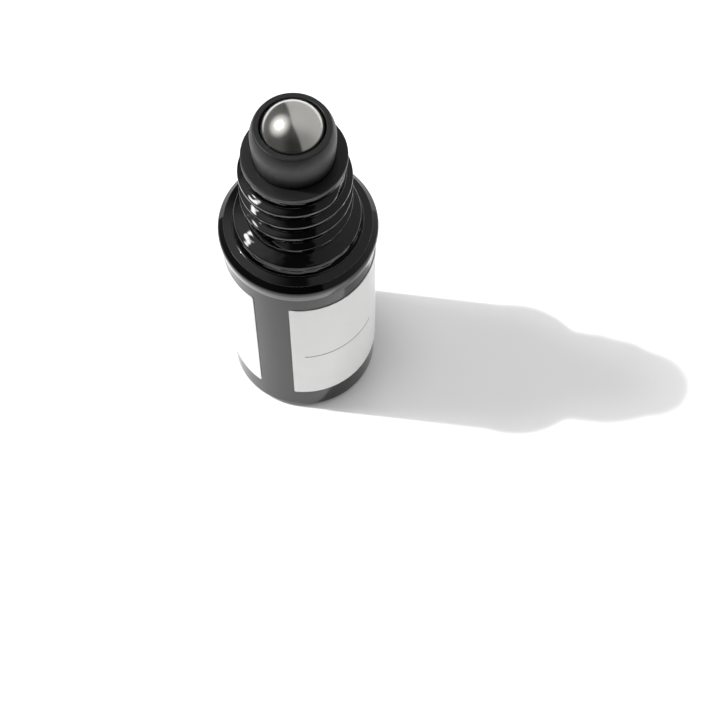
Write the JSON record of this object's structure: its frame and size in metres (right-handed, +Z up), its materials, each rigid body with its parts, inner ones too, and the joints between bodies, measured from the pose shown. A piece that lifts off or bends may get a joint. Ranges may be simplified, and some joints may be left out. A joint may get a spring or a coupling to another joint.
{
  "type": "roll-on bottle",
  "caption": "Small opaque black glass roll-on bottle with a screw neck, a plain wrap-around label and a steel ball that rolls in a plastic housing.",
  "frame": {"origin": "centre of the base, on the plane that the bottle stands on", "axes": "+Z up along the bottle's axis and through the ball, -Y the front, where one end of the label begins"},
  "size_m": [0.0234, 0.0234, 0.0676],
  "materials": {
    "black_glass": "opaque, high gloss",
    "label_film": "satin white film",
    "plug_plastic": "fine matte",
    "housing_plastic": "smooth matte",
    "ball_steel": "satin polished"
  },
  "bodies": {
    "bottle": {"glass_bottle": "black_glass", "wrap_label": "label_film"},
    "fitment": {"neck_plug": "plug_plastic", "ball_housing": "housing_plastic"},
    "ball": {"roller_ball": "ball_steel"}
  },
  "joints": [
    {"name": "fitment_pull", "type": "slide", "parent": "bottle", "child": "fitment", "axis": [0, 0, 1], "range_m": [0, 0.02]},
    {"name": "ball_roll", "type": "hinge", "parent": "fitment", "child": "ball", "pos_m": [0, 0, 0.06286], "axis": [1, 0, 0], "continuous": true}
  ]
}
